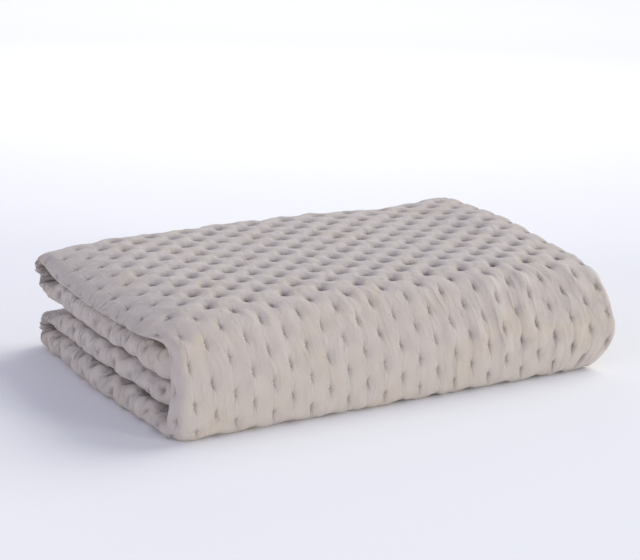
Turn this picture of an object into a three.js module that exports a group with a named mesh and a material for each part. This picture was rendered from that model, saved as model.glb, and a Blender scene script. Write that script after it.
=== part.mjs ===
// Folded quilted coverlet, in millimetres, +Z up, lying on its underside.
// One cloth. It is folded in half twice along its length, which makes a strip of four
// layers. The strip's two long edges then come to the middle, and it is folded in half
// once more, so four bands of four layers lie on each other.
// +X runs along the bands, -Y is the rounded front of the last fold, +Y is the side of
// the two back folds.
import * as THREE from 'three';

// Driving dimensions
const foldedLength = 636;
const foldedDepth = 406;
const foldedHeight = 137;
const clothThickness = 7.2;
const layerGap = 1.2;

// The strip of four layers
const layers = 4;
const stripThickness = layers * clothThickness + (layers - 1) * layerGap;
const endFoldRadius = stripThickness / 2;
const innerFoldInset = 3;
const freeEdgeInset = { outer: 6, inner: 11 };

// The left end lies askew: its back corner reaches further left than its front one
const endSkew = 6;
const stripLength = foldedLength - endSkew;

// Gaps between the four bands, from the top band down
const gapBelowTop = 3;
const gapAboveLowest = 3;
const thirdHeight = 2 * stripThickness + gapAboveLowest;
const secondHeight = foldedHeight - 2 * stripThickness - gapBelowTop;

// The front of the last fold, from the top down: a soft turn, a slope, a wide turn to
// upright and a tight turn at the foot, where the weight squares it
const frontY = -foldedDepth / 2;
const shoulder = { radius: 52, degrees: 50, slope: 18 };
const belly = { radius: 105 };
const foot = { radius: 22, insideRadius: 4 };

// The two long edges of the cloth stop inside the front
const insideEdgeY = { second: -146, third: -164 };

// How far back the upper back fold reaches along its length, and how far the lower
// back fold stands back from it
const backEdge = [
  { x: -318, reach: 196 },
  { x: -150, reach: 190 },
  { x: -50, reach: 199 },
  { x: 60, reach: 195 },
  { x: 170, reach: 184 },
  { x: 318, reach: 203 },
];
const lowerFoldInset = 10;

// The top falls away towards the left end, where the strip is pressed thinner
const endDrop = 9;
const endDropRange = { from: -285, to: -185 };

// One row for each stretch of the strip, in the order in which the cloth runs through
// them. shift moves its left end along X. pressed and edgePressed are its thickness as a
// share of the loose one, over the stretch and at its long edge.
const stretches = {
  second: { shift: 2, pressed: 1, edgePressed: 0.84 },
  top: { shift: -1, pressed: 1, edgePressed: 1 },
  front: { shift: 5, pressed: 0.85 },
  bottom: { shift: 0, pressed: 1, edgePressed: 1 },
  third: { shift: 1, pressed: 1, edgePressed: 0.88 },
};

// Fineness of the folds
const lengthwiseStops = [-270, -225, -180, -50, 60, 170];
const endFoldSteps = 8;
const smallFoldSteps = 6;
const runSteps = 3;
const backFoldSteps = 9;
const frontTurnSteps = 5;

const cloth = new THREE.MeshStandardMaterial({
  name: 'quilted_cloth',
  color: 0xc6bdb8,
  roughness: 0.92,
  metalness: 0,
});

function lerp(a, b, t) {
  return a + (b - a) * t;
}

// The strip's section: the middle line of the cloth through its four layers, in the
// plane of X and depth. Depth 0 is the strip's outer face. Each point has the direction
// towards one face of the cloth.
function stripSection() {
  const pitch = clothThickness + layerGap;
  const depthOf = (layer) => clothThickness / 2 + layer * pitch;
  const leftX = -stripLength / 2 + endFoldRadius;
  const innerLeftX = leftX + innerFoldInset;
  const rightX = stripLength / 2 - pitch / 2 - clothThickness / 2;
  const points = [];

  const run = (layer, fromX, toX) => {
    const way = Math.sign(toX - fromX);
    const stops = way > 0 ? lengthwiseStops : lengthwiseStops.slice().reverse();
    for (const x of [fromX, ...stops, toX]) {
      points.push({ x, depth: depthOf(layer), faceX: 0, faceDepth: way });
    }
  };

  // side is the way the fold bulges along X, turn the way the cloth goes through the depth
  const fold = (centreX, centreDepth, radius, side, turn, steps) => {
    for (let i = 1; i < steps; i += 1) {
      const angle = (Math.PI * i) / steps;
      points.push({
        x: centreX + side * radius * Math.sin(angle),
        depth: centreDepth - turn * radius * Math.cos(angle),
        faceX: -turn * Math.sin(angle),
        faceDepth: side * Math.cos(angle),
      });
    }
  };

  run(3, stripLength / 2 - freeEdgeInset.outer, leftX);
  fold(leftX, stripThickness / 2, endFoldRadius - clothThickness / 2, -1, -1, endFoldSteps);
  run(0, leftX, rightX);
  fold(rightX, (depthOf(0) + depthOf(1)) / 2, pitch / 2, 1, 1, smallFoldSteps);
  run(1, rightX, innerLeftX);
  fold(innerLeftX, (depthOf(1) + depthOf(2)) / 2, pitch / 2, -1, 1, smallFoldSteps);
  run(2, innerLeftX, stripLength / 2 - freeEdgeInset.inner);
  return points;
}

// How far back the upper back fold reaches at one place along X
function backReach(x) {
  const last = backEdge.length - 1;
  const after = Math.min(Math.max(backEdge.findIndex((row) => row.x > x), 1), last);
  const from = backEdge[after - 1];
  const to = backEdge[after];
  return lerp(from.reach, to.reach, THREE.MathUtils.smoothstep(x, from.x, to.x));
}

// The way of the strip through its bands, in the plane of Y and Z, at one place along X.
// Each station has a point on the strip's outer face and one on its inner face.
function foldRoute(x) {
  const stations = [];
  const upperRadius = stripThickness + gapBelowTop / 2;
  const lowerRadius = stripThickness + gapAboveLowest / 2;
  const upperY = backReach(x) - upperRadius;
  const lowerY = backReach(x) - lowerFoldInset - lowerRadius;

  // A flat stretch of a band at height z, with the strip's inner face on the side inward
  const run = (name, fromY, toY, z, inward) => {
    const { shift, pressed, edgePressed } = stretches[name];
    const edgeY = insideEdgeY[name] ?? frontY;
    for (let i = 0; i <= runSteps; i += 1) {
      const y = lerp(fromY, toY, i / runSteps);
      const fromEdge = THREE.MathUtils.smoothstep(y, edgeY, 0);
      const thickness = stripThickness * lerp(edgePressed, pressed, fromEdge);
      stations.push({
        outer: { y, z },
        inner: { y, z: z + inward * thickness },
        shift,
        drop: name === 'top' ? 1 : 0,
      });
    }
  };

  // A turn of the strip about a centre, which the inner face may take about its own one
  const turn = (outer, inner, degrees, steps, from, to) => {
    for (let i = from.skip; i <= steps - to.skip; i += 1) {
      const t = i / steps;
      const angle = THREE.MathUtils.degToRad(lerp(degrees[0], degrees[1], t));
      const on = (arc) => ({
        y: arc.y + arc.radius * Math.cos(angle),
        z: arc.z + arc.radius * Math.sin(angle),
      });
      const face = on(outer);
      const loose = on(inner);
      const pressed = lerp(from.pressed, to.pressed, t);
      stations.push({
        outer: face,
        inner: { y: lerp(face.y, loose.y, pressed), z: lerp(face.z, loose.z, pressed) },
        shift: lerp(from.shift, to.shift, t),
        drop: lerp(from.drop, to.drop, t),
      });
    }
  };
  const insideOf = (arc) => ({ ...arc, radius: arc.radius - stripThickness });
  const end = (name, skip, drop = 0) => ({ ...stretches[name], skip, drop });

  run('second', insideEdgeY.second, upperY, secondHeight, 1);
  const upperBack = { y: upperY, z: secondHeight + upperRadius, radius: upperRadius };
  turn(upperBack, insideOf(upperBack), [-90, 90], backFoldSteps, end('second', 1), end('top', 1, 1));

  // The front is laid out from its foremost point back to where the top turns into it
  const lean = THREE.MathUtils.degToRad(shoulder.degrees);
  const slopeY = frontY + belly.radius * (1 - Math.sin(lean));
  const shoulderY = slopeY + shoulder.slope * Math.cos(lean) + shoulder.radius * Math.sin(lean);
  const slopeZ = foldedHeight - shoulder.radius * (1 - Math.cos(lean))
    - shoulder.slope * Math.sin(lean);
  run('top', upperY, shoulderY, foldedHeight, -1);
  const top = { y: shoulderY, z: foldedHeight - shoulder.radius, radius: shoulder.radius };
  const leanAngle = 90 + shoulder.degrees;
  turn(top, insideOf(top), [90, leanAngle], frontTurnSteps, end('top', 1, 1), end('front', 0));
  const wide = {
    y: frontY + belly.radius,
    z: slopeZ - belly.radius * Math.cos(lean),
    radius: belly.radius,
  };
  turn(wide, insideOf(wide), [leanAngle, 180], frontTurnSteps, end('front', 0), end('front', 0));
  const footOutside = { y: frontY + foot.radius, z: foot.radius, radius: foot.radius };
  const footInside = {
    y: frontY + stripThickness + foot.insideRadius,
    z: stripThickness + foot.insideRadius,
    radius: foot.insideRadius,
  };
  turn(footOutside, footInside, [180, 270], frontTurnSteps, end('front', 0), end('bottom', 1));

  run('bottom', footInside.y, lowerY, 0, 1);
  const lowerBack = { y: lowerY, z: lowerRadius, radius: lowerRadius };
  turn(lowerBack, insideOf(lowerBack), [-90, 90], backFoldSteps, end('bottom', 1), end('third', 1));
  run('third', lowerY, insideEdgeY.third, thirdHeight, -1);
  return stations;
}

// Where a point of the strip's section lies once the strip is folded
function placePoint(x, depth, station) {
  const atEnd = 1 - THREE.MathUtils.smoothstep(x, endDropRange.from, endDropRange.to);
  const drop = (endDrop / stripThickness) * atEnd * station.drop;
  const through = lerp(drop, 1, depth / stripThickness);
  const y = lerp(station.outer.y, station.inner.y, through);
  const z = lerp(station.outer.z, station.inner.z, through);
  const fromRight = 0.5 - x / stripLength;
  const skew = (-endSkew * y) / (foldedDepth / 2);
  return [x + (station.shift + skew) * fromRight, y, z];
}

// The cloth as one closed body: its two faces, its two free long edges and its two
// free short edges
function coverletGeometry() {
  const section = stripSection();
  const half = clothThickness / 2;
  const faces = [1, -1].map((side) => section.map((point) => ({
    x: point.x + side * half * point.faceX,
    depth: point.depth + side * half * point.faceDepth,
  })));
  const ring = [...faces[0], ...faces[1].slice().reverse()];
  const routes = ring.map((point) => foldRoute(point.x));
  const stationCount = routes[0].length;
  const ringCount = ring.length;

  const positions = [];
  for (let i = 0; i < stationCount; i += 1) {
    ring.forEach((point, j) => {
      positions.push(...placePoint(point.x, point.depth, routes[j][i]));
    });
  }

  const triangles = [];
  const quad = (a, b, c, d) => triangles.push(a, b, c, a, c, d);
  for (let i = 0; i < stationCount - 1; i += 1) {
    const here = i * ringCount;
    for (let j = 0; j < ringCount; j += 1) {
      const next = (j + 1) % ringCount;
      quad(here + j, here + next, here + ringCount + next, here + ringCount + j);
    }
  }
  const lastStation = (stationCount - 1) * ringCount;
  for (let j = 0; j < section.length - 1; j += 1) {
    const across = ringCount - 1 - j;
    quad(across, across - 1, j + 1, j);
    quad(lastStation + j, lastStation + j + 1, lastStation + across - 1, lastStation + across);
  }

  const geometry = new THREE.BufferGeometry();
  geometry.setAttribute('position', new THREE.Float32BufferAttribute(positions, 3));
  geometry.setIndex(triangles);
  geometry.computeBoundingBox();
  const middle = geometry.boundingBox.getCenter(new THREE.Vector3());
  geometry.translate(-middle.x, -middle.y, -geometry.boundingBox.min.z);
  geometry.computeVertexNormals();
  return geometry;
}

const coverlet = new THREE.Mesh(coverletGeometry(), cloth);
coverlet.name = 'coverlet';

const group = new THREE.Group();
group.name = 'folded_coverlet';
group.add(coverlet);

export default group;
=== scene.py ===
import math

import bmesh
import bpy
from mathutils import Matrix, Quaternion, Vector, noise


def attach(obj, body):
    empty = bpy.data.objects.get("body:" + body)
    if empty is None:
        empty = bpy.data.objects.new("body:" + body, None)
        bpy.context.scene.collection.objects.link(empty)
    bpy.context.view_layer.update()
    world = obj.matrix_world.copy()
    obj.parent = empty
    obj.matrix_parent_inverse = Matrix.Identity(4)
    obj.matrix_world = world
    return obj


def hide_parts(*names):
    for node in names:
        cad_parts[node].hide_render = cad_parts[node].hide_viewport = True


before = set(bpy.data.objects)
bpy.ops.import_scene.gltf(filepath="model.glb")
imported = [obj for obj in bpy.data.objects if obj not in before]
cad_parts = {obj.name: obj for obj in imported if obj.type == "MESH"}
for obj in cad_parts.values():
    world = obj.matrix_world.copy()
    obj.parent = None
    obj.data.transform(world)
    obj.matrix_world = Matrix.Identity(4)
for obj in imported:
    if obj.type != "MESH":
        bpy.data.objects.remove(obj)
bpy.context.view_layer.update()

# A quilted coverlet folded into four bands of four layers, on a pale floor.
# Metres. X runs along the bands, -Y is the rounded front, Z is up.


def mix(a, b, t):
    return a + (b - a) * t


def ease(x, low, high):
    t = min(max((x - low) / (high - low), 0.0), 1.0)
    return t * t * (3 - 2 * t)


def bell(x, width):
    return math.exp(-(x / width) ** 2)


# A smooth reading between the rows of a short table
def readTable(rows, x):
    for (fromX, low), (toX, high) in zip(rows, rows[1:]):
        if x < toX or toX == rows[-1][0]:
            return mix(low, high, ease(x, fromX, toX))


# The finished mesh as an object of the scene
def addObject(name, bm):
    mesh = bpy.data.meshes.new(name)
    bm.to_mesh(mesh)
    bm.free()
    made = bpy.data.objects.new(name, mesh)
    bpy.context.scene.collection.objects.link(made)
    return made


# Camera, at the angle the coverlet was seen from
view = {
    "aim": (0.0663, 0.1094, 0.060),  # point of the scene at the middle of the picture
    "azimuth": -29.717,  # degrees, 0 looks along +Y
    "elevation": 17.453,
    "roll": 1.73,
    "distance": 2.381,
    "lens": 98.48,  # mm
    "sensor": 36,  # mm
    "clip": (0.05, 50),
}


def addCamera():
    azimuth = math.radians(view["azimuth"])
    elevation = math.radians(view["elevation"])
    back = Vector((
        math.sin(azimuth) * math.cos(elevation),
        -math.cos(azimuth) * math.cos(elevation),
        math.sin(elevation),
    ))
    data = bpy.data.cameras.new("camera")
    data.sensor_width = view["sensor"]
    data.lens = view["lens"]
    data.clip_start, data.clip_end = view["clip"]
    camera = bpy.data.objects.new("camera", data)
    camera.location = Vector(view["aim"]) + back * view["distance"]
    camera.rotation_mode = "QUATERNION"
    roll = Quaternion((0, 0, 1), math.radians(view["roll"]))
    camera.rotation_quaternion = (-back).to_track_quat("-Z", "Y") @ roll
    bpy.context.scene.collection.objects.link(camera)
    bpy.context.scene.camera = camera


addCamera()
print("camera placed")

# The cloth and its folds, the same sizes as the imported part
cloth = {
    "thickness": 0.0072,
    "layerGap": 0.0012,
    "strip": 4 * 0.0072 + 3 * 0.0012,  # four layers and their gaps
    "stripLength": 0.630,
    "innerFoldInset": 0.003,
    "freeEdgeInset": {"outer": 0.006, "inner": 0.011},
    "centre": (0.0029, 0.0004),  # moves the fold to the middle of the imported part
    "hem": 0.0036,  # how far in from a free edge the cloth rounds off
    "hemEdge": 0.3,  # and the share of its thickness left at the very edge
    "hemLines": (0.3, 1.0),  # where the grid has lines within the hem, as shares of it
}
fold = {
    "depth": 0.406,
    "height": 0.137,
    "gapBelowTop": 0.003,
    "gapAboveLowest": 0.003,
    "shoulder": {"radius": 0.052, "degrees": 50, "slope": 0.018},
    "bellyRadius": 0.105,
    "foot": {"radius": 0.013, "inside": 0.004},
    "insideEdge": {"second": -0.146, "third": -0.164},
    "backEdge": [
        (-0.318, 0.196), (-0.150, 0.190), (-0.050, 0.199),
        (0.060, 0.195), (0.170, 0.184), (0.318, 0.203),
    ],
    "lowerFoldInset": 0.010,
    "backStrip": 0.120,  # Y where the runs are divided, near the back folds
}
# How far each stretch's left end is shifted, and the share of the strip's thickness that is
# left in its middle and at its long edge
stretchFacts = {
    "second": {"shift": 0.003, "pressed": 1.0, "edge": 0.84},
    "top": {"shift": -0.001, "pressed": 1.0, "edge": 1.0},
    "front": {"shift": 0.016, "pressed": 0.85, "edge": 1.0},
    "foot": {"shift": 0.004, "pressed": 0.85, "edge": 1.0},
    "bottom": {"shift": -0.002, "pressed": 1.0, "edge": 1.0},
    "third": {"shift": 0.001, "pressed": 1.0, "edge": 0.88},
}
leftEnd = {  # the shape of the stack's left end
    "range": (-0.300, -0.195),  # X where it starts and is complete
    "recede": 0.0155,  # how far the front corner lies back from the rear one
    "recedeRange": (-0.020, 0.190),  # -Y over which it does
    # how far each height of the stack is raised at the left end, and further at its front
    "bandLift": [(0, 0), (0.034, 0.000), (0.0685, -0.001), (0.103, 0.001), (0.137, -0.006)],
    "frontLift": [(0, 0), (0.034, -0.011), (0.0685, -0.011), (0.103, -0.002), (0.137, 0)],
    "frontRange": (0.090, 0.175),  # -Y
    "roll": 0.011,  # the top rolls off to the end by this much
    "rollRange": (-0.318, -0.262),
    "rollFrom": 0.72,  # share of the height from which it does
    "rollAtBack": 0.35,
    "rollBackRange": (0.060, 0.160),
    "sink": 0.0185,  # the lower back fold, pressed down
    "sinkPower": 2.8,  # mostly near its top
    "backRange": (0.085, 0.165),
    "upperSqueeze": 0.55,  # thickness left in the strip where it turns at the back
    "lowerSqueeze": 0.90,
    "squeezeLength": 0.050,
    "tipSink": {"top": 0.009, "back": 0.002, "front": 0.006},  # the end fold's tip, off the middle
    "tipRange": (-0.316, -0.288),
    "insideReach": {"second": -0.024, "third": -0.007},
    "tuckIn": 0.018,  # the middle bands' front ends lie in behind the wrap
    "tuckLength": 0.032,
    "foldRange": (-0.016, 0.004),  # over this much cloth the end fold turns into the top
}
rightEnd = {  # it bulges at the front and its corner is tucked under
    "range": (0.200, 0.318),
    "frontRange": (-0.050, 0.150),
    "bulge": 0.011,
    "bulgePower": 0.8,  # below 1 it bulges most under the middle of the height
    "tuck": 0.025,
    "tuckHeight": 0.36,  # share of the height over which it is tucked
    "drop": 0.007,
}
unevenness = {  # of the top, and of the rounded front's outer face
    "rightHump": {"height": 0.005, "x": 0.290, "width": 0.050, "y": 0.030, "depth": 0.080},
    "rightDip": {"depth": 0.001, "left": (0.140, 0.180), "right": (0.235, 0.270)},
    "backDip": {"depth": 0.001, "range": (0.120, 0.175)},
    "waves": {"height": 0.0012, "perMetre": 7, "seed": 4.2},
    "pressedIn": [
        {"depth": 0.0030, "at": 0.008, "width": 0.024},
        {"depth": 0.0035, "at": 0.077, "width": 0.030},
    ],
}

# The lattice of tack stitches and the relief that it gives the cloth
quilting = {
    "stepAcross": 0.025,  # half a repeat, along X
    "stepAlong": 0.0199,  # half a repeat, along the fold's way
    "start": (-0.1925, 0.0134),
    "loose": (0.0010, 0.0016),  # how far a tack strays, on the top and on the front
    "level": 0.0004,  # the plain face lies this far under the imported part's
    "deepest": 0.0064,
    "frontRange": (-0.020, 0.045),  # along the way, where the top turns into the front
    "slopeRange": (-0.290, -0.215),  # X, where the top slopes down to its left end
    "rightHalf": (0.020, 0.200),  # X, where the front's folds get deeper
    "frontLeft": -0.300,  # no tacks beyond this on the front
    "calmer": 0.65,  # how much flatter the relief is at the right end
    "calmRange": (0.255, 0.318),
    "closer": 0.58,  # the grid is drawn together at the tacks by this much
    # how high the cloth puffs between the tacks, how deep the hollow round each is, and each
    # pit's depth, reach and turn in degrees
    "top": {"puff": 0.0022, "hollow": 0.0046, "pit": 0.0028, "long": 0.0024, "short": 0.0017, "turn": 0},
    "front": {"puff": 0.0011, "hollow": 0.0006, "pit": 0.0029, "long": 0.0080, "short": 0.0023, "turn": 78},
    "slope": {"puff": 0.0007, "hollow": 0.0002, "pit": 0.0025, "long": 0.0066, "short": 0.0017, "turn": -28},
    "end": {"puff": 0.0019, "hollow": 0.0006, "pit": 0.0042, "long": 0.0105, "short": 0.0020, "turn": 4},
}
puffShape = {"power": 0.5, "pitRange": (0.25, 0.5)}  # the pits fade over this share of the way between
pitShape = {  # the slit or pit that the thread pulls in
    "core": 0.65,
    "trail": 0.35,
    "trailLength": 2.2,
    "turn": 20,  # degrees, to either side
    "uneven": 0.45,
    "deeperAtRight": 1.35,
}
hollowShape = {  # flat walls round each tack, a little turned and uneven
    "wide": 0.0098,
    "long": 0.0098,
    "turn": 12,  # degrees, to either side
    "unevenWide": 0.22,
    "unevenLong": 0.16,
    "unevenDeep": 0.3,
    "steepness": (0.94, 1.35),  # of its far side, and of its side towards the front
    "steepRange": (-0.15, 0.15),
    "corners": 4,  # 2 is round, more is squarer
    "power": 1.05,
}
starShape = {"depth": 0.0014, "rays": 5, "length": 0.0065, "start": 0.002}  # creases out from a tack
frontFolds = {  # long folds down the front, deeper on its right half
    "height": 0.0048,
    "sideways": 0.030,  # they start this far to the side
    "straight": 0.035,  # and straighten within about this way
    "wayStart": -0.02,
    "valley": 0.35,
    "valleyNarrow": 4,
    "atLeft": 0.16,
    "atFoot": 0.3,
    "footRange": (0.125, 0.165),
}
endPleats = {"depth": 0.0026, "step": 0.0125, "uneven": 1.5}  # they run in to the back folds' middle
# Noise that unsettles the face: how often it changes across and along, its own place, and its
# height, which is 1 where the folds and puckers give their own
softness = {
    "ridges": {"height": 0.0014, "across": 85, "along": 20, "seed": 3.3},
    "folds": {"height": 1, "across": 52, "along": 9, "seed": 2.2},
    "waves": {"height": 0.0007, "across": 34, "along": 30, "seed": 7.1},
    "lumps": {"height": 0.0010, "across": 92, "along": 84, "seed": 6.1},
    "puckers": {"height": 1, "across": 26, "along": 75, "seed": 5.4},
    "endWaves": {"height": 0.0020, "across": 20, "along": 34, "seed": 8.8},
}
endPuckers = {"depth": 0.0026, "narrow": 3.0}


shownLayer = 0  # the outermost of the strip's four layers


# The strip's section, as stretches of the cloth's width from the free edge on its inner
# face to the free edge in its middle
def stripStretches():
    thick, stripThick = cloth["thickness"], cloth["strip"]
    pitch = thick + cloth["layerGap"]
    depthOf = [thick / 2 + layer * pitch for layer in range(4)]
    leftX = -cloth["stripLength"] / 2 + stripThick / 2
    innerLeftX = leftX + cloth["innerFoldInset"]
    rightX = cloth["stripLength"] / 2 - pitch / 2 - thick / 2
    outerEnd = cloth["stripLength"] / 2 - cloth["freeEdgeInset"]["outer"]
    innerEnd = cloth["stripLength"] / 2 - cloth["freeEdgeInset"]["inner"]

    def run(layer, fromX, toX):
        way = math.copysign(1, toX - fromX)
        return {
            "layer": layer,
            "length": abs(toX - fromX),
            "at": lambda f: (mix(fromX, toX, f), depthOf[layer], 0.0, -way),
        }

    def turn(layer, centreX, centreDepth, radius, side, way):
        def at(f):
            angle = math.pi * f
            return (
                centreX + side * radius * math.sin(angle),
                centreDepth - way * radius * math.cos(angle),
                way * math.sin(angle),
                -side * math.cos(angle),
            )
        return {"layer": layer, "length": math.pi * (radius + thick / 2), "at": at}

    return [
        run(3, outerEnd, leftX),
        turn("leftFold", leftX, stripThick / 2, stripThick / 2 - thick / 2, -1, -1),
        run(shownLayer, leftX, rightX),
        turn("rightFold", rightX, (depthOf[0] + depthOf[1]) / 2, pitch / 2, 1, 1),
        run(1, rightX, innerLeftX),
        turn("innerFold", innerLeftX, (depthOf[1] + depthOf[2]) / 2, pitch / 2, -1, 1),
        run(2, innerLeftX, innerEnd),
    ]


strip = stripStretches()
stripStarts = [sum(s["length"] for s in strip[:i]) for i in range(len(strip) + 1)]
topStart = stripStarts[2]  # where the layer that shows begins, at its left end
topLength = strip[2]["length"]
topLeftX = strip[2]["at"](0)[0]


def leftness(x):
    return 1 - ease(x, *leftEnd["range"])


# The strip's way through its bands at one place along X. Each stretch has its length on
# the outer face, and a function that gives the outer and inner face and the end's shift
def makeRoute(x):
    stripThick = cloth["strip"]
    frontY = -fold["depth"] / 2
    upperRadius = stripThick + fold["gapBelowTop"] / 2
    lowerRadius = stripThick + fold["gapAboveLowest"] / 2
    backY = readTable(fold["backEdge"], x)
    upperY = backY - upperRadius
    lowerY = backY - fold["lowerFoldInset"] - lowerRadius
    secondZ = fold["height"] - 2 * stripThick - fold["gapBelowTop"]
    thirdZ = 2 * stripThick + fold["gapAboveLowest"]
    shoulder, belly, foot = fold["shoulder"], fold["bellyRadius"], fold["foot"]
    lean = math.radians(shoulder["degrees"])
    slopeY = frontY + belly * (1 - math.sin(lean))
    shoulderY = slopeY + shoulder["slope"] * math.cos(lean) + shoulder["radius"] * math.sin(lean)
    slopeZ = fold["height"] - shoulder["radius"] * (1 - math.cos(lean)) - shoulder["slope"] * math.sin(lean)

    leftward = leftness(x)
    insideY = {
        name: edge + leftward * leftEnd["insideReach"][name]
        for name, edge in fold["insideEdge"].items()
    }
    squeezeAt = {
        "second": (upperY, mix(1, leftEnd["upperSqueeze"], leftward)),
        "top": (upperY, mix(1, leftEnd["upperSqueeze"], leftward)),
        "bottom": (lowerY, mix(1, leftEnd["lowerSqueeze"], leftward)),
        "third": (lowerY, mix(1, leftEnd["lowerSqueeze"], leftward)),
    }

    def run(name, fromY, toY, z, inward):
        facts = stretchFacts[name]
        edgeY = insideY.get(name, frontY)

        def at(f):
            y = mix(fromY, toY, f)
            turnY, squeeze = squeezeAt[name]
            thick = stripThick * mix(facts["edge"], facts["pressed"], ease(y, edgeY, 0))
            thick *= mix(1, squeeze, ease(y, turnY - leftEnd["squeezeLength"], turnY))
            shift = facts["shift"]
            if name in insideY:
                shift += leftEnd["tuckIn"] * (1 - ease(y, edgeY, edgeY + leftEnd["tuckLength"]))
            return y, z, y, z + inward * thick, shift
        return abs(toY - fromY), at

    def turn(outer, inner, fromAngle, toAngle, before, after):
        a, b = stretchFacts[before], stretchFacts[after]
        squeeze = squeezeAt[before][1] if fromAngle < 0 else 1

        def at(f):
            angle = math.radians(mix(fromAngle, toAngle, f))
            y = outer[0] + outer[2] * math.cos(angle)
            z = outer[1] + outer[2] * math.sin(angle)
            innerY = inner[0] + inner[2] * math.cos(angle)
            innerZ = inner[1] + inner[2] * math.sin(angle)
            pressed = mix(a["pressed"], b["pressed"], f) * squeeze
            return y, z, mix(y, innerY, pressed), mix(z, innerZ, pressed), mix(a["shift"], b["shift"], f)
        return outer[2] * math.radians(toAngle - fromAngle), at

    def link(before, after):
        a, b = before[1](1), after[1](0)
        return math.hypot(b[0] - a[0], b[1] - a[1]), lambda f: [mix(p, q, f) for p, q in zip(a, b)]

    def insideOf(arc):
        return arc[0], arc[1], arc[2] - stripThick

    upperBack = (upperY, secondZ + upperRadius, upperRadius)
    lowerBack = (lowerY, lowerRadius, lowerRadius)
    topArc = (shoulderY, fold["height"] - shoulder["radius"], shoulder["radius"])
    bellyArc = (frontY + belly, slopeZ - belly * math.cos(lean), belly)
    footArc = (frontY + foot["radius"], foot["radius"], foot["radius"])
    footInside = (frontY + stripThick + foot["inside"], stripThick + foot["inside"], foot["inside"])
    leanAngle = 90 + shoulder["degrees"]
    split = fold["backStrip"]

    round1 = turn(topArc, insideOf(topArc), 90, leanAngle, "top", "front")
    round2 = turn(bellyArc, insideOf(bellyArc), leanAngle, 180, "front", "foot")
    round3 = turn(footArc, footInside, 180, 270, "foot", "bottom")
    under = run("bottom", footInside[0], split, 0, 1)
    return [
        run("second", insideY["second"], split, secondZ, 1),
        run("second", split, upperY, secondZ, 1),
        turn(upperBack, insideOf(upperBack), -90, 90, "second", "top"),
        run("top", upperY, split, fold["height"], -1),
        run("top", split, shoulderY, fold["height"], -1),
        round1,
        link(round1, round2),
        round2,
        link(round2, round3),
        round3,
        link(round3, under),
        under,
        run("bottom", split, lowerY, 0, 1),
        turn(lowerBack, insideOf(lowerBack), -90, 90, "bottom", "third"),
        run("third", lowerY, split, thirdZ, -1),
        run("third", split, insideY["third"], thirdZ, -1),
    ]


# For each stretch of the way: its part of the coverlet, the rows of the base grid over it, and
# the finest step wanted on the layer that shows and on the end fold
rowPlan = [
    {"part": "hidden", "rows": 5, "step": None, "endStep": 0.0036},
    {"part": "hidden", "rows": 2, "step": 0.0060, "endStep": 0.0034},
    {"part": "back", "rows": 10, "step": 0.0038, "endStep": 0.0034},
    {"part": "top", "rows": 2, "step": 0.0029, "endStep": 0.0033},
    {"part": "top", "rows": 8, "step": 0.0029, "endStep": 0.0033},
    {"part": "front", "rows": 5, "step": 0.0029, "endStep": 0.0034},
    {"part": "front", "rows": 2, "step": 0.0029, "endStep": 0.0034},
    {"part": "front", "rows": 7, "step": 0.0029, "endStep": 0.0034},
    {"part": "front", "rows": 2, "step": 0.0029, "endStep": 0.0034},
    {"part": "front", "rows": 5, "step": 0.0029, "endStep": 0.0034},
    {"part": "bottom", "rows": 2, "step": 0.0060, "endStep": 0.0034},
    {"part": "bottom", "rows": 6, "step": 0.0120, "endStep": 0.0034},
    {"part": "bottom", "rows": 2, "step": 0.0080, "endStep": 0.0034},
    {"part": "back", "rows": 10, "step": 0.0042, "endStep": 0.0034},
    {"part": "hidden", "rows": 2, "step": 0.0060, "endStep": 0.0034},
    {"part": "hidden", "rows": 5, "step": None, "endStep": 0.0036},
]
shoulderRow = 5  # the stretches before it are the upper two bands
backFoldRows = (2, 13)
# The finest steps across the cloth: on the layer that shows, under the stack, at both ends
columnStep = {"show": 0.00209, "under": 0.0084, "end": 0.0031}

routes = {}


# Each stretch's start, counted from the shoulder, its length and its places, kept for each X
def routeAt(x):
    key = round(x, 4)
    if key not in routes:
        lengths, places = zip(*makeRoute(key))
        starts = [sum(lengths[:i]) for i in range(len(lengths))]
        starts = [start - starts[shoulderRow] for start in starts]
        routes[key] = list(zip(starts, lengths, places))
    return routes[key]


plainRoute = routeAt(0)
wayStarts = [start for start, length, at in plainRoute] + [plainRoute[-1][0] + plainRoute[-1][1]]
shoulderY = plainRoute[shoulderRow][2](0)[0]


# Which stretch a value falls in, and the share of the stretch that lies before it
def stretchOf(value, starts):
    for i in range(len(starts) - 1):
        if value < starts[i + 1] - 1e-9 or i == len(starts) - 2:
            f = (value - starts[i]) / (starts[i + 1] - starts[i])
            return i, min(max(f, 0.0), 1.0)


# A place of the quilting, counted in steps of the lattice
def latticePlace(u, v):
    a = (u - quilting["start"][0]) / quilting["stepAcross"]
    b = (v - shoulderY + quilting["start"][1]) / quilting["stepAlong"]
    return a, b


# The nearest tack: they sit where both counts are even or both are odd
def tackNear(a, b):
    best = None
    for odd in (0, 1):
        i = 2 * round((a - odd) / 2) + odd
        j = 2 * round((b - odd) / 2) + odd
        away = math.hypot((a - i) * quilting["stepAcross"], (b - j) * quilting["stepAlong"])
        if best is None or away < best[0]:
            best = (away, i, j)
    return best[1], best[2]


# A tack's place, a little off the lattice, and its own three chances from -1 to 1
def tackPlace(i, j):
    chance = noise.cell_vector(Vector((i + 0.5, j + 0.5, 3.5)))
    u = quilting["start"][0] + i * quilting["stepAcross"]
    v = shoulderY - quilting["start"][1] + j * quilting["stepAlong"]
    loose = mix(*quilting["loose"], ease(v, *quilting["frontRange"]))
    return u + loose * chance.x, v + loose * chance.y, chance


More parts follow.
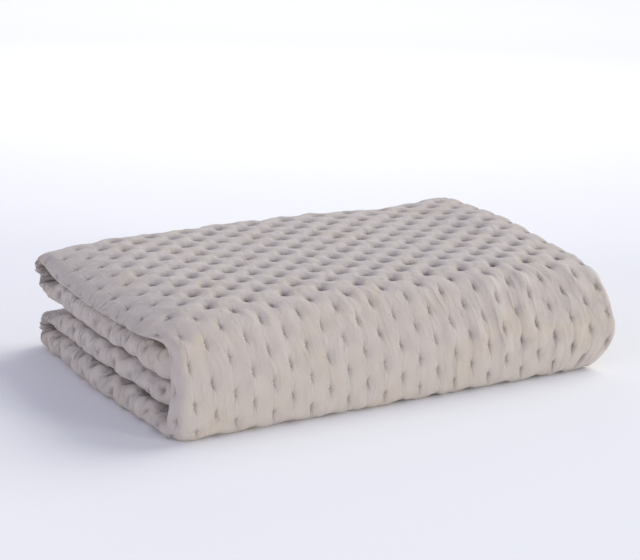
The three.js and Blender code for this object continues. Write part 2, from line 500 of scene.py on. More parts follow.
# How deep the pit is at a place near its tack, where kind gives its reach and turn
def pitAt(du, dv, kind, chance):
    angle = math.radians(kind["turn"] + pitShape["turn"] * chance.z)
    along = du * math.cos(angle) + dv * math.sin(angle)
    across = dv * math.cos(angle) - du * math.sin(angle)
    away = math.sqrt((along / kind["long"]) ** 2 + (across / kind["short"]) ** 2)
    trail = pitShape["trail"] * math.exp(-away / pitShape["trailLength"])
    return pitShape["core"] * math.exp(-away ** 2) + trail


# The same for the hollow round it
def hollowAt(du, dv, chance):
    turned = math.radians(hollowShape["turn"]) * chance.z
    wide = (du * math.cos(turned) + dv * math.sin(turned)) / hollowShape["wide"]
    long = (dv * math.cos(turned) - du * math.sin(turned)) / hollowShape["long"]
    wide /= 1 + hollowShape["unevenWide"] * chance.y
    long /= 1 + hollowShape["unevenLong"] * chance.x
    long *= mix(*hollowShape["steepness"], ease(long, *hollowShape["steepRange"]))
    corners = hollowShape["corners"]
    return max(1 - (wide ** corners + long ** corners) ** (1 / corners), 0)


# And for the creases that run out from it
def starAt(du, dv, chance):
    reach = math.hypot(du, dv)
    wave = abs(math.sin(starShape["rays"] / 2 * math.atan2(dv, du) + 3 * chance.x))
    return (1 - wave) ** 2 * math.exp(-reach / starShape["length"]) * min(reach / starShape["start"], 1)


def softAt(name, u, v):
    facts = softness[name]
    return facts["height"] * noise.noise(Vector((u * facts["across"], v * facts["along"], facts["seed"])))


# Long folds, which start aside and run straight down the front, and the ridges beside them
def frontFoldsAt(u, v, atRight):
    start = max(v, frontFolds["wayStart"])
    leaning = u + frontFolds["sideways"] * math.exp(-start / frontFolds["straight"])
    longFold = softAt("folds", leaning, v)
    valley = max(1 - frontFolds["valleyNarrow"] * abs(longFold), 0) ** 2
    strength = mix(frontFolds["atLeft"], 1, atRight)
    strength *= mix(1, frontFolds["atFoot"], ease(v, *frontFolds["footRange"]))
    folds = frontFolds["height"] * (longFold - frontFolds["valley"] * valley) * strength
    return softAt("ridges", leaning, v) + folds


# Puckers of the end fold, and pleats where it turns at the back
def endPuckersAt(u, v, part, chance):
    pucker = 1 - abs(softAt("puckers", u, v)) * endPuckers["narrow"]
    height = softAt("endWaves", u, v) - endPuckers["depth"] * max(pucker, 0) ** 2
    if part == "back":
        pleat = 1 - abs(math.sin(v * math.pi / endPleats["step"] + endPleats["uneven"] * chance.x))
        height -= endPleats["depth"] * pleat ** 2
    return height


# Height of the cloth's face over its plain one, from its place in the quilting
def relief(u, v, x, part, atEnd):
    a, b = latticePlace(u, v)
    tackU, tackV, chance = tackPlace(*tackNear(a, b))
    du, dv = u - tackU, v - tackV
    onFront = ease(v, *quilting["frontRange"]) if part in ("top", "front") else 0.0
    onSlope = (1 - ease(x, *quilting["slopeRange"])) * (1 - onFront)
    atRight = ease(x, *quilting["rightHalf"])
    kind = {}
    for key in quilting["top"]:
        size = mix(quilting["top"][key], quilting["front"][key], onFront)
        size = mix(size, quilting["slope"][key], onSlope)
        kind[key] = mix(size, quilting["end"][key], atEnd)

    tacked = 1 - onFront if tackU < quilting["frontLeft"] else 1  # the wrap's left edge is plain
    between = 0.5 - 0.5 * math.cos(math.pi * a) * math.cos(math.pi * b)
    pit = pitAt(du, dv, kind, chance) * (1 + pitShape["uneven"] * chance.y) * tacked
    pit *= mix(1, pitShape["deeperAtRight"], onFront * atRight) * (1 - ease(between, *puffShape["pitRange"]))
    hollow = (hollowAt(du, dv, chance) * tacked) ** hollowShape["power"]
    hollow *= 1 + hollowShape["unevenDeep"] * chance.x
    star = starAt(du, dv, chance) * (1 - onFront) * (1 - atEnd)

    height = kind["puff"] * between ** puffShape["power"]
    height -= kind["pit"] * pit + kind["hollow"] * hollow + starShape["depth"] * star
    height += frontFoldsAt(u, v, atRight) * onFront
    height += softAt("waves", u, v) + softAt("lumps", u, v) * (1 - onFront)
    if atEnd > 0:
        height += endPuckersAt(u, v, part, chance) * atEnd
    height *= 1 - quilting["calmer"] * ease(x, *quilting["calmRange"]) * (1 - onFront)
    return max(height - quilting["level"], -quilting["deepest"])


# How far the outer face is pressed in towards the strip's middle
def pressedIn(v, part):
    if part != "front":
        return 0.0
    return sum(dip["depth"] * bell(v - dip["at"], dip["width"]) for dip in unevenness["pressedIn"])


# The humps, dips and waves of the stack's top
def topUnevenness(x, y):
    hump, dip = unevenness["rightHump"], unevenness["rightDip"]
    backDip, waves = unevenness["backDip"], unevenness["waves"]
    height = hump["height"] * bell(x - hump["x"], hump["width"]) * bell(y - hump["y"], hump["depth"])
    height -= dip["depth"] * (ease(x, *dip["left"]) - ease(x, *dip["right"]))
    height -= backDip["depth"] * ease(y, *backDip["range"])
    place = Vector((x * waves["perMetre"], y * waves["perMetre"], waves["seed"]))
    return height + waves["height"] * noise.noise(place)


# The stack as it settled: its left end lifted or sunk, its top uneven, its right end drawn in
def settled(x, y, z, upper):
    share = z / fold["height"]
    leftward = leftness(x)
    lift = readTable(leftEnd["bandLift"], z)
    lift += readTable(leftEnd["frontLift"], z) * ease(-y, *leftEnd["frontRange"])
    roll = leftEnd["roll"] * mix(1, leftEnd["rollAtBack"], ease(y, *leftEnd["rollBackRange"]))
    lift -= roll * (1 - ease(x, *leftEnd["rollRange"])) * ease(share, leftEnd["rollFrom"], 1)
    if not upper:
        sink = leftEnd["sink"] * max(2 * share, 0) ** leftEnd["sinkPower"]
        lift -= ease(y, *leftEnd["backRange"]) * sink
    atRight = ease(x, *rightEnd["range"]) * ease(-y, *rightEnd["frontRange"])
    hump = topUnevenness(x, y) - rightEnd["drop"] * atRight
    bulge = math.sin(math.pi * min(max(share, 0), 1) ** rightEnd["bulgePower"])
    reach = rightEnd["bulge"] * bulge - rightEnd["tuck"] * (1 - ease(share, 0, rightEnd["tuckHeight"])) ** 2
    return x + atRight * reach, z + leftward * lift + (1 - leftward) * hump * max(share, 0) ** 3


# How round the cloth's edge is: the share of its thickness left near a free edge
def hemShare(s, p):
    away = min(s - stripStarts[0], stripStarts[-1] - s, p - wayStarts[0], wayStarts[-1] - p)
    inside = min(max(away / cloth["hem"], 0.0), 1.0)
    return mix(cloth["hemEdge"], 1, math.sqrt(1 - (1 - inside) ** 2))


# Where a point of the flat cloth comes to lie in the strip, on its way and in the quilting
def layOut(s, p):
    k, f = stretchOf(s, stripStarts)
    layer, section = strip[k]["layer"], strip[k]["at"](f)
    row, g = stretchOf(p, wayStarts)
    start, length, at = routeAt(section[0])[row]
    way = at(g)
    fromRight = 0.5 - section[0] / cloth["stripLength"]
    moved = (way[4] + leftEnd["recede"] * ease(-way[0], *leftEnd["recedeRange"])) * fromRight
    v = start + g * length
    u = min(max(s - topStart, 0), topLength) + topLeftX + moved + cloth["centre"][0]
    if layer == "leftFold":
        u += s - topStart
    elif layer != shownLayer:
        u = s - topStart + topLeftX
    return layer, row, section, way, moved, u, v


# The grid is drawn closer together at the tacks
def drawnIn(s, p):
    layer, row, section, way, moved, u, v = layOut(s, p)
    if rowPlan[row]["part"] in ("hidden", "bottom") or layer not in ("leftFold", shownLayer):
        return s, p
    a, b = latticePlace(u, v)
    closer = quilting["closer"] / (2 * math.pi)
    nearerS = s - closer * quilting["stepAcross"] * math.sin(2 * math.pi * a)
    nearerP = p - closer * quilting["stepAlong"] * math.sin(2 * math.pi * b)
    return nearerS, nearerP


# Where a point of the cloth's outer (side 1) or inner (side -1) face comes to lie
def foldPoint(s, p, side):
    layer, row, section, way, moved, u, v = layOut(s, p)
    x, depth, faceX, faceDepth = section
    outerY, outerZ, innerY, innerZ = way[:4]
    part = rowPlan[row]["part"]
    height = 0.0
    shows = part != "hidden" and layer in (shownLayer, "rightFold")
    if side > 0 and (shows or layer == "leftFold"):
        atEnd = 0.0
        if layer != "rightFold" and part not in ("top", "front"):
            atEnd = 1 - ease(s - topStart, *leftEnd["foldRange"])
        height = relief(u, v, x, part, atEnd)
    half = cloth["thickness"] / 2 * hemShare(s, p) + height
    tipSink = leftEnd["tipSink"].get(part, 0.0) * (1 - ease(x, *leftEnd["tipRange"]))
    x += side * half * faceX
    depth += side * half * faceDepth
    share = depth / cloth["strip"]
    share += tipSink / cloth["strip"] * math.sin(math.pi * min(max(share, 0.0), 1.0))
    through = mix(pressedIn(v, part) / cloth["strip"], 1, share)
    y = mix(outerY, innerY, through)
    x, z = settled(x, y, mix(outerZ, innerZ, through), row < shoulderRow)
    place = Vector((x + moved + cloth["centre"][0], y + cloth["centre"][1], max(z, 0.0)))
    return place, u, v, height


# Lines of the grid within the hems at both edges
def hemStops(first, last):
    hems = [cloth["hem"] * share for share in cloth["hemLines"]]
    return [first + hem for hem in hems] + [last - hem for hem in hems]


columnPlan = {"leftFold": 8, "rightFold": 6, "innerFold": 6, 1: 7, 2: 7, 3: 7}  # cells over each


# Where the flat cloth's grid has lines across its width: on the layer that shows, one in
# every second column of tacks
def columnStops():
    stops = []
    for stretch, start in zip(strip, stripStarts):
        length, layer = stretch["length"], stretch["layer"]
        if layer == shownLayer:
            repeat = 2 * quilting["stepAcross"]
            stops.append(start)
            at = quilting["start"][0] - 2 * repeat - topLeftX
            while at < length:
                if at > 0:
                    stops.append(start + at)
                at += repeat
        else:
            cells = columnPlan[layer]
            stops += [start + length * i / cells for i in range(cells)]
    return sorted(stops + hemStops(stripStarts[0], stripStarts[-1]) + [stripStarts[-1]])


def rowStops():
    stops = []
    for k, plan in enumerate(rowPlan):
        length = wayStarts[k + 1] - wayStarts[k]
        stops += [wayStarts[k] + length * i / plan["rows"] for i in range(plan["rows"])]
    return sorted(stops + hemStops(wayStarts[0], wayStarts[-1]) + [wayStarts[-1]])


# The finest step wanted at a place, along axis 0, the cloth's width, or axis 1, its way
def stepFor(s, p, axis):
    k = stretchOf(s, stripStarts)[0]
    plan = rowPlan[stretchOf(p, wayStarts)[0]]
    layer = strip[k]["layer"]
    if layer == "leftFold":
        return columnStep["end"] if axis == 0 else plan["endStep"]
    if plan["step"] is None or layer not in (shownLayer, "rightFold"):
        return None
    if axis == 1:
        return plan["step"]
    if layer == "rightFold":
        return columnStep["end"]
    return columnStep["under"] if plan["part"] in ("bottom", "hidden") else columnStep["show"]


# Cuts finer cells where the cloth shows, along one axis of the flat cloth
def refine(bm, axis):
    groups = {}
    for face in bm.faces:
        middle = face.calc_center_median()
        if middle.z <= 0 or face.normal.z < 0.5:
            continue
        step = stepFor(middle.x, middle.y, axis)
        if step is None:
            continue
        for edge in face.edges:
            a, b = edge.verts
            if abs(a.co[1 - axis] - b.co[1 - axis]) < 1e-7:
                cuts = round(edge.calc_length() / step) - 1
                if cuts > 0:
                    groups.setdefault(cuts, set()).add(edge)
    done = set()
    for cuts, edges in groups.items():  # an edge between two kinds of cell is cut once
        groups[cuts] = [edge for edge in edges if edge not in done]
        done.update(groups[cuts])
    for cuts, edges in sorted(groups.items()):
        bmesh.ops.subdivide_edges(bm, edges=edges, cuts=cuts, use_grid_fill=True, use_single_edge=True)


# Where the cloth's sides lie in the map for baking: the inner face above the outer one, and the
# rim as narrow strips beside the outer one
bakeLayout = {
    "left": 0.01,
    "width": 0.98,
    "outer": {"from": 0.01, "height": 0.78},
    "inner": {"from": 0.82, "height": 0.15},
    "rim": {"upper": 0.002, "lower": 0.008},
    "middle": (0.5, 0.4),
}


def bakePlace(s, p, z, middle, columns, rows):
    thick = cloth["thickness"]
    side = bakeLayout["inner" if middle.z < 0.25 * thick else "outer"]
    x = bakeLayout["left"] + bakeLayout["width"] * s / columns[-1]
    y = side["from"] + side["height"] * (p - rows[0]) / (rows[-1] - rows[0])
    if abs(middle.z - thick / 2) > 0.25 * thick:
        return x, y
    beside = bakeLayout["rim"]["upper" if z > thick / 2 else "lower"]
    if middle.x < columns[0] + 1e-6 or middle.x > columns[-1] - 1e-6:
        return x + math.copysign(beside, x - bakeLayout["middle"][0]), y
    return x, y + math.copysign(beside, y - bakeLayout["middle"][1])


def makeCoverlet():
    columns, rows = columnStops(), rowStops()
    bm = bmesh.new()
    bmesh.ops.create_grid(bm, x_segments=len(columns) - 1, y_segments=len(rows) - 1, size=1)
    for vert in bm.verts:
        i = round((vert.co.x + 1) / 2 * (len(columns) - 1))
        j = round((vert.co.y + 1) / 2 * (len(rows) - 1))
        vert.co = (columns[i], rows[j], 0.0)
    faces = bm.faces[:]
    made = bmesh.ops.extrude_face_region(bm, geom=faces, use_keep_orig=True)
    lifted = [v for v in made["geom"] if isinstance(v, bmesh.types.BMVert)]
    bmesh.ops.translate(bm, verts=lifted, vec=(0, 0, cloth["thickness"]))
    bmesh.ops.recalc_face_normals(bm, faces=bm.faces)
    print("flat cloth:", len(bm.faces), "cells", columns[-1], rows[-1] - rows[0])
    refine(bm, 0)
    refine(bm, 1)
    print("cut finer:", len(bm.faces), "cells")

    flatMap = bm.loops.layers.uv.new("flatCloth")
    tackMap = bm.loops.layers.uv.new("fromTack")
    bakeMap = bm.loops.layers.uv.new("OFBake")
    heights = bm.verts.layers.float.new("reliefHeight")
    places = {}
    for vert in bm.verts:
        side = 1 if vert.co.z > cloth["thickness"] / 2 else -1
        places[vert] = foldPoint(*drawnIn(vert.co.x, vert.co.y), side)
    for face in bm.faces:
        face.smooth = True
        flatMiddle = face.calc_center_median()
        onFace = flatMiddle.z > 0.75 * cloth["thickness"]
        corners = [Vector(places[loop.vert][1:3]) for loop in face.loops]
        middle = sum(corners, Vector((0, 0))) / len(corners)
        tack = Vector(tackPlace(*tackNear(*latticePlace(*middle)))[:2])
        for loop, flat in zip(face.loops, corners):
            loop[flatMap].uv = flat
            loop[tackMap].uv = flat - tack if onFace else (1, 1)
            loop[bakeMap].uv = bakePlace(*loop.vert.co, flatMiddle, columns, rows)
    for vert, (place, u, v, height) in places.items():
        vert.co = place
        vert[heights] = height
    bmesh.ops.recalc_face_normals(bm, faces=bm.faces)
    return addObject("quiltedCloth", bm)


coverlet = makeCoverlet()
print("cloth folded:", sum(len(p.vertices) - 2 for p in coverlet.data.polygons), "triangles")


# A shader socket that takes part in Python arithmetic
class Value:
    def __init__(self, tree, socket):
        self.tree = tree
        self.socket = socket

    def maths(self, operation, *others, swapped=False):
        made = self.tree.nodes.new("ShaderNodeMath")
        made.operation = operation
        values = [self, *others]
        if swapped:
            values.reverse()
        for socket, value in zip(made.inputs, values):
            if isinstance(value, Value):
                self.tree.links.new(value.socket, socket)
            else:
                socket.default_value = value
        return Value(self.tree, made.outputs[0])

    def __add__(self, other):
        return self.maths("ADD", other)

    def __radd__(self, other):
        return self.maths("ADD", other, swapped=True)

    def __sub__(self, other):
        return self.maths("SUBTRACT", other)

    def __rsub__(self, other):
        return self.maths("SUBTRACT", other, swapped=True)

    def __mul__(self, other):
        return self.maths("MULTIPLY", other)

    def __rmul__(self, other):
        return self.maths("MULTIPLY", other, swapped=True)

    def __truediv__(self, other):
        return self.maths("DIVIDE", other)

    def __pow__(self, other):
        return self.maths("POWER", other)

    def __neg__(self):
        return self.maths("MULTIPLY", -1.0)


class Shading:
    def __init__(self, name):
        self.material = bpy.data.materials.new(name)
        self.material.use_nodes = True
        self.tree = self.material.node_tree
        self.surface = self.tree.nodes["Principled BSDF"]

    def node(self, kind, settings=None, output=0, **sockets):
        made = self.tree.nodes.new("ShaderNode" + kind)
        for key, value in (settings or {}).items():
            setattr(made, key, value)
        for key, value in sockets.items():
            place = made.inputs[int(key[1:]) if key[1:].isdigit() else key.replace("_", " ")]
            if isinstance(value, Value):
                self.tree.links.new(value.socket, place)
            else:
                place.default_value = value
        return Value(self.tree, made.outputs[output])

    def mixed(self, a, b, factor):
        return self.node("Mix", {"data_type": "RGBA"}, output=2, _0=factor, _6=a, _7=b)

    def stretched(self, u, v, across, along, shift=0.0):
        return self.node("CombineXYZ", _0=u * across + shift, _1=v * along)

    def noise(self, place, detail):
        return self.node("TexNoise", {"noise_dimensions": "2D"}, Vector=place, Scale=1.0, Detail=detail)

    # thin lines where a noise passes its middle
    def lines(self, value, narrow):
        line = 1 - (value - 0.5).maths("ABSOLUTE") * narrow
        return line.maths("MAXIMUM", 0.0) ** 2.0

    # from 0 at low to 1 at high, with soft ends
    def clamped(self, value, low, high):
        smooth = {"interpolation_type": "SMOOTHSTEP"}
        return self.node("MapRange", smooth, Value=value, From_Min=low, From_Max=high)

    # a soft mound with its top at the tack, where du and dv are millimetres from it
    def mound(self, du, dv, wide, long):
        return (-((du / wide) ** 2.0 + (dv / long) ** 2.0)).maths("EXPONENT")

    def feed(self, socket, value):
        self.tree.links.new(value.socket, self.surface.inputs[socket])

    def setFixed(self, **values):
        for key, value in values.items():
            self.surface.inputs[key.replace("_", " ")].default_value = value


finish = {
    "color": (0.553, 0.494, 0.459, 1),
    "puffWearAndHighlightColor": (0.590, 0.533, 0.499, 1),  # lighter on the puffs: partly rubbed nap, partly a painted highlight on their crests
    "warmColor": (0.566, 0.498, 0.439, 1),  # faint warm patches
    # the painted shade in the hollows, pits, slits and creases
    "paintedHollowShadeColor": (0.255, 0.218, 0.207, 1),
    "fleckColors": ((0.80, 0.80, 0.80, 1), (1.1, 1.1, 1.1, 1)),
    "flecks": 0.35,
    "roughness": 0.86,
    "rubbedSmoother": 0.10,
    "fleckRougher": 0.08,
    "sheen": 0.18,
    "sheenRoughness": 0.45,
    "specular": 0.25,
    "hollow": (-0.0076, -0.0002),  # relief heights over which the painted shade fades out, from the darkest pit to the plain cloth
    "frontHollow": (-0.0200, -0.0016),
    "puff": (0.0, 0.0026),  # and from there to the top of a puff, lighter there by rubbed nap and painted highlight
    "footRange": (0.185, 0.205),  # along the way, where the front ends
    "endRange": (-0.012, 0.010),  # across the cloth, where the end fold ends
    "turnEase": 0.02,
    "weave": {"step": 0.00062, "depth": 0.000035},  # one thread and its gap
    "bend": 0.8,  # how much the creases are bent
    "crumple": 0.00060,  # depth of the small wrinkles every way
    "creaseShade": (120, 50),  # painted shade: how much darker a metre of crease would be, on top and front
}
# Painted shade in each hollow: its dark heart, and the dark slit on the front: size in millimetres, and
# strength
heartShadeSpot = {"wide": 2.7, "long": 2.5, "below": 1.5, "dark": 0.90, "least": 0.6, "more": 0.8, "onSlope": 0.6}
slitShadeSpot = {"wide": 0.8, "long": 4.0, "longer": 2.0, "dark": 0.3, "darker": 0.25}
# Creases that run out from each tack: how fast they fade per millimetre, depth and painted shade on the
# top, and how much more of both there is on the front
starCreases = {
    "stretch": (1.6, -0.35), "fade": -0.13, "start": (0.3, 2.2),
    "depth": 0.00050, "deeper": 0.00070, "paintedShade": 0.10, "darker": 0.30,
}
# Creases where a noise passes its middle: how often it changes across and along, how much the
# bends turn it, its detail, how narrow the creases are, and their depth
creases = {
    "upright": {"across": 64, "along": 12, "bend": 0.4, "detail": 1.0, "narrow": 3.0, "depth": 0.00070},
    "lying": {"across": 34, "along": 90, "bend": 1.0, "detail": 2.0, "narrow": 7.0, "depth": 0.00034},
    "fine": {"across": 190, "along": 26, "bend": 0.5, "detail": 1.0, "narrow": 4.0, "depth": 0.00018},
    "puckers": {"across": 26, "along": 105, "bend": 1.0, "detail": 1.0, "narrow": 8.0, "depth": 0.00130},
    "pleats": {"across": 9, "along": 120, "bend": 1.0, "detail": 1.0, "narrow": 5.0, "depth": 0.00200},
}
uprightDeeper = 0.00060  # the upright ones' further depth on the right half
fineOnFront = 0.00005  # the fine ones' depth on the front
# Noise in round spots: how often it changes across and along, its detail, and where a patch
# of it starts and is full
spots = {
    "bends": {"perMetre": (30, 30), "detail": 1.0},
    "uprightPatches": {"perMetre": (32, 24), "detail": 1.0, "range": (0.40, 0.56)},
    "puckerPatches": {"perMetre": (40, 40), "detail": 1.0, "range": (0.38, 0.58)},
    "warmPatches": {"perMetre": (14, 14), "detail": 3.0, "range": (0.50, 0.72)},
    "crumple": {"perMetre": (170, 170), "detail": 3.0},
    "flecks": {"perMetre": (700, 700), "detail": 2.0},
}


def makeClothMaterial():
    look = Shading("quiltedClothFinish")
    flat = look.node("UVMap", {"uv_map": "flatCloth"})
    u = look.node("SeparateXYZ", _0=flat)
    v = look.node("SeparateXYZ", output=1, _0=flat)
    near = look.node("UVMap", {"uv_map": "fromTack"})
    du = look.node("SeparateXYZ", _0=near) * 1000
    dv = look.node("SeparateXYZ", output=1, _0=near) * 1000
    height = look.node("Attribute", {"attribute_name": "reliefHeight"}, output=2)

    # the regions of the cloth, from 0 to 1
    onFront = look.clamped(v, *quilting["frontRange"]) * (1 - look.clamped(v, *finish["footRange"]))
    onSlope = 1 - look.clamped(u, *quilting["slopeRange"])
    toRight = look.clamped(u, *quilting["rightHalf"])
    atEnd = 1 - look.clamped(u - topLeftX, *finish["endRange"])

    def turnFrom(row):
        start, end, soft = wayStarts[row], wayStarts[row + 1], finish["turnEase"]
        return look.clamped(v, start, start + soft) * (1 - look.clamped(v, end - soft, end))

    # each tack's own chance
    column = ((u - du / 1000) / quilting["stepAcross"] * 2).maths("ROUND")
    row = ((v - dv / 1000) / quilting["stepAlong"] * 2).maths("ROUND")
    place = look.node("CombineXYZ", _0=column, _1=row)
    chance = look.node("TexWhiteNoise", {"noise_dimensions": "3D"}, Vector=place)

    # creases that run out from each tack, mostly up and down on the front
    x = du * (1 + starCreases["stretch"][0] * onFront)
    y = dv * (1 + starCreases["stretch"][1] * onFront)
    away = (x * x + y * y).maths("SQRT")
    angle = y.maths("ARCTAN2", x)
    waves = (angle * (starShape["rays"] / 2) + chance * (2 * math.pi)).maths("SINE").maths("ABSOLUTE")
    star = (1 - waves) ** 3.0 * (away * starCreases["fade"]).maths("EXPONENT")
    star = star * look.clamped(away, *starCreases["start"])

    def spotted(name, bend=0.0):
        facts = spots[name]
        return look.noise(look.stretched(u, v, *facts["perMetre"], bend), facts["detail"])

    def patchy(name):
        return look.clamped(spotted(name), *spots[name]["range"])

    # wrinkles: upright on the front, lying across on the top, and small ones every way
    bends = spotted("bends") * finish["bend"]
    way = v.maths("MAXIMUM", frontFolds["wayStart"]) * (-1 / frontFolds["straight"])
    leaning = u + way.maths("EXPONENT") * frontFolds["sideways"]

    def creased(name, acrossWay):
        facts = creases[name]
        place = look.stretched(acrossWay, v, facts["across"], facts["along"], bends * facts["bend"])
        return look.lines(look.noise(place, facts["detail"]), facts["narrow"])

    upright = creased("upright", leaning) * patchy("uprightPatches")
    upright = upright * (creases["upright"]["depth"] + uprightDeeper * toRight)
    fine = creased("fine", leaning)
    lying = creased("lying", u) * creases["lying"]["depth"]
    puckers = creased("puckers", u) * patchy("puckerPatches") * creases["puckers"]["depth"]
    backTurns = turnFrom(backFoldRows[0]) + turnFrom(backFoldRows[1])
    pleats = creased("pleats", u) * backTurns * creases["pleats"]["depth"]
    wrinkles = onFront * (upright + fine * fineOnFront)
    wrinkles = wrinkles + (1 - onFront) * (lying + fine * creases["fine"]["depth"] + atEnd * puckers)
    wrinkles = wrinkles + atEnd * pleats

    perThread = 2 * math.pi / finish["weave"]["step"]
    weave = (u * perThread).maths("SINE") * (v * perThread).maths("SINE") * finish["weave"]["depth"]
    crumple = spotted("crumple", bends) * finish["crumple"]
    starDepth = star * (starCreases["depth"] + starCreases["deeper"] * onFront)
    bump = look.node("Bump", Height=crumple + weave - starDepth - wrinkles, Strength=1.0, Distance=1.0)

    # painted shade: darker walls in the hollows, a small dark heart in each, a thin dark slit on the front,
    # and darker creases
    raised = look.clamped(height, *finish["hollow"])
    raised = raised + (look.clamped(height, *finish["frontHollow"]) - raised) * onFront
    # painted shade at the bottom of each pit and in each slit, stronger at some tacks than others
    heart = look.mound(du, dv + heartShadeSpot["below"], heartShadeSpot["wide"], heartShadeSpot["long"])
    heart = heart * (1 - onFront) * (1 - atEnd) * (1 - heartShadeSpot["onSlope"] * onSlope)
    slit = look.mound(du, dv, slitShadeSpot["wide"], slitShadeSpot["long"] + slitShadeSpot["longer"] * toRight)
    slit = slit * onFront * (slitShadeSpot["dark"] + slitShadeSpot["darker"] * toRight)
    ownShade = heartShadeSpot["dark"] * (heartShadeSpot["least"] + heartShadeSpot["more"] * chance)
    raised = raised * (1 - ownShade * (heart + slit))
    # painted shade in the wrinkles, puckers and pleats
    creaseShade, frontCreaseShade = finish["creaseShade"]
    raised = raised * (1 - wrinkles * (creaseShade + (frontCreaseShade - creaseShade) * onFront))
    # painted shade in the creases round each tack
    raised = raised * (1 - star * (starCreases["paintedShade"] + starCreases["darker"] * onFront))

    puffed = look.clamped(height, *finish["puff"])
    flecks = spotted("flecks")
    # the puffs lighter: partly rubbed nap, partly painted highlight
    colour = look.mixed(finish["color"], finish["puffWearAndHighlightColor"], puffed)
    colour = look.mixed(colour, finish["warmColor"], patchy("warmPatches"))
    # painted shade: the hollows, hearts, slits and creases take the dark colour
    colour = look.mixed(finish["paintedHollowShadeColor"], colour, raised)
    multiply = {"data_type": "RGBA", "blend_type": "MULTIPLY"}
    fleckColor = look.mixed(*finish["fleckColors"], flecks)
    colour = look.node("Mix", multiply, output=2, _0=finish["flecks"], _6=colour, _7=fleckColor)
    look.feed("Base Color", colour)
    look.feed("Normal", bump)
    rubbed = finish["rubbedSmoother"] * puffed
    look.feed("Roughness", finish["roughness"] - rubbed + finish["fleckRougher"] * flecks)
    look.setFixed(Sheen_Weight=finish["sheen"], Sheen_Roughness=finish["sheenRoughness"])
    look.setFixed(Specular_IOR_Level=finish["specular"])
    return look.material


coverlet.data.materials.append(makeClothMaterial())

# The tack stitches, one short bar of thread across each pit
stitch = {
    "length": 0.0046,
    "width": 0.0011,
    "aside": -0.0022,  # it shows most at the left of its pit
    "lift": 0.0004,
    "turn": 25,  # degrees, to either side
    "feel": 0.0008,  # how far off the cloth's slope is read
    "sides": 6,
    "rings": 4,
    "columns": (-7, 21),  # of the lattice, counted from its start
    "rows": (-24, 15),
}
thread = {
    "color": (0.82, 0.78, 0.69, 1),
    "darker": 0.86,
    "plyScale": 2500.0,
    "plyDepth": 0.0002,
    "toneScale": 40.0,
    "roughness": 0.7,
}


# The flat cloth's place under a place of the quilting, closed in on in a few steps
def flatPlace(u, v):
    s, p = u - topLeftX + topStart, v
    for step in range(4):
        atU, atV = layOut(s, p)[5:]
        s, p = s + u - atU, p + v - atV
    return s, p


# The outer face's place and its directions across the strip, along its way and outward
def faceAt(s, p):
    feel = stitch["feel"]
    across = (foldPoint(s + feel, p, 1)[0] - foldPoint(s - feel, p, 1)[0]).normalized()
    along = (foldPoint(s, p + feel, 1)[0] - foldPoint(s, p - feel, 1)[0]).normalized()
    return foldPoint(s, p, 1)[0], across, along.cross(across).normalized()


def makeStitches():
    bm = bmesh.new()
    lastX = topLength + topLeftX
    sizes = Matrix.Diagonal((stitch["length"] / 2, stitch["width"] / 2, stitch["width"] / 2, 1))
    for i in range(*stitch["columns"]):
        for j in range(*stitch["rows"]):
            u, v, chance = tackPlace(i, j)
            s, p = flatPlace(u + stitch["aside"], v)
            part = rowPlan[stretchOf(p, wayStarts)[0]]["part"]
            onTopLayer = strip[stretchOf(s, stripStarts)[0]]["layer"] == shownLayer and u <= lastX
            if (i + j) % 2 or not onTopLayer or part in ("bottom", "hidden"):
                continue
            if part == "front" and u < quilting["frontLeft"]:
                continue
            place, across, out = faceAt(s, p)
            turned = Quaternion(out, math.radians(stitch["turn"] * chance.z)) @ across
            axes = Matrix((turned, out.cross(turned), out)).transposed().to_4x4()
            where = Matrix.Translation(place + out * stitch["lift"]) @ axes @ sizes
            bmesh.ops.create_uvsphere(
                bm, u_segments=stitch["sides"], v_segments=stitch["rings"], radius=1, matrix=where)
    bmesh.ops.recalc_face_normals(bm, faces=bm.faces)
    for face in bm.faces:
        face.smooth = True
    return addObject("tackStitches", bm)


def makeThreadMaterial():
    look = Shading("tackThread")
    place = look.node("TexCoord", output=3)
    ply = look.node("TexNoise", Vector=place, Scale=thread["plyScale"], Detail=1.0)
    tone = look.node("TexNoise", Vector=place, Scale=thread["toneScale"])
    dark = tuple(c * thread["darker"] for c in thread["color"][:3]) + (1,)
    look.feed("Base Color", look.mixed(dark, thread["color"], tone))
    look.feed("Normal", look.node("Bump", Height=ply, Strength=0.5, Distance=thread["plyDepth"]))
    look.setFixed(Roughness=thread["roughness"])
    return look.material


stitches = makeStitches()
stitches.data.materials.append(makeThreadMaterial())
print("tacks sewn:", len(stitches.data.polygons), "faces")

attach(coverlet, "root")
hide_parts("coverlet")
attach(stitches, "root")

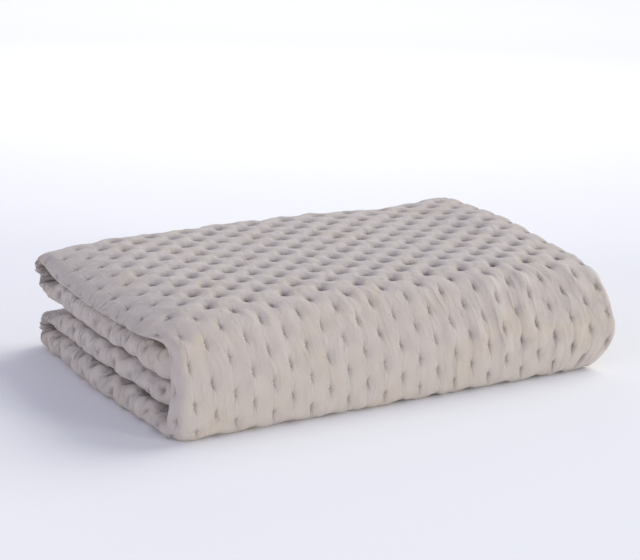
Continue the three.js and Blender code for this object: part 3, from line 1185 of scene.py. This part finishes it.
# Floor and light
studio = {
    "floorSize": 30,
    "floorColor": (0.93, 0.93, 0.94, 1),
    "floorRoughness": 0.9,
    "floorSpecular": 0.1,
    "ambientColor": (0.84, 0.86, 1.08, 1),
    "ambient": 0.50,
    "lights": {  # where each comes from, its strength, softness in degrees
        "key": {"from": (0.75, 0.22, 0.60), "strength": 0.57, "angle": 40, "color": (0.995, 1.0, 0.93)},
        "front": {"from": (0.62, -0.78, 0.10), "strength": 0.56, "angle": 20, "color": (1.0, 0.985, 0.80)},
        "side": {"from": (-0.97, -0.15, 0.05), "strength": 0.42, "angle": 40, "color": (1.0, 0.98, 1.0)},
    },
    # one whitens the floor behind, the other brightens the cloth from behind
    "panels": {
        "backdropLight": {
            "location": (1.2, 2.4, 1.8), "aim": (0.25, 0.5, -1.0), "size": (3.0, 1.5), "energy": 11,
        },
        "backLight": {
            "location": (0.90, 1.70, 0.90), "aim": (-0.75, -1.40, -0.75), "size": (1.4, 0.5), "energy": 4.5,
        },
    },
}


def addLight(name, kind, direction, energy):
    light = bpy.data.objects.new(name, bpy.data.lights.new(name, kind))
    light.data.energy = energy
    light.rotation_mode = "QUATERNION"
    light.rotation_quaternion = Vector(direction).to_track_quat("-Z", "Y")
    bpy.context.scene.collection.objects.link(light)
    return light


def addStudio():
    bm = bmesh.new()
    bmesh.ops.create_grid(bm, x_segments=1, y_segments=1, size=studio["floorSize"])
    floor = addObject("floor", bm)
    paint = Shading("paleFloor")
    paint.setFixed(Base_Color=studio["floorColor"], Roughness=studio["floorRoughness"])
    paint.setFixed(Specular_IOR_Level=studio["floorSpecular"])
    floor.data.materials.append(paint.material)

    world = bpy.data.worlds.new("studio")
    world.use_nodes = True
    background = world.node_tree.nodes["Background"]
    background.inputs["Color"].default_value = studio["ambientColor"]
    background.inputs["Strength"].default_value = studio["ambient"]
    bpy.context.scene.world = world

    for name, facts in studio["lights"].items():
        direction = -Vector(facts["from"]).normalized()
        light = addLight(name, "SUN", direction, facts["strength"] * math.pi)
        light.data.angle = math.radians(facts["angle"])
        light.data.color = facts["color"]
    for name, facts in studio["panels"].items():
        light = addLight(name, "AREA", facts["aim"], facts["energy"])
        light.data.shape = "RECTANGLE"
        light.data.size, light.data.size_y = facts["size"]
        light.location = facts["location"]
        light.visible_camera = False
    bpy.context.scene.view_settings.view_transform = "Standard"


addStudio()
print("studio lit")
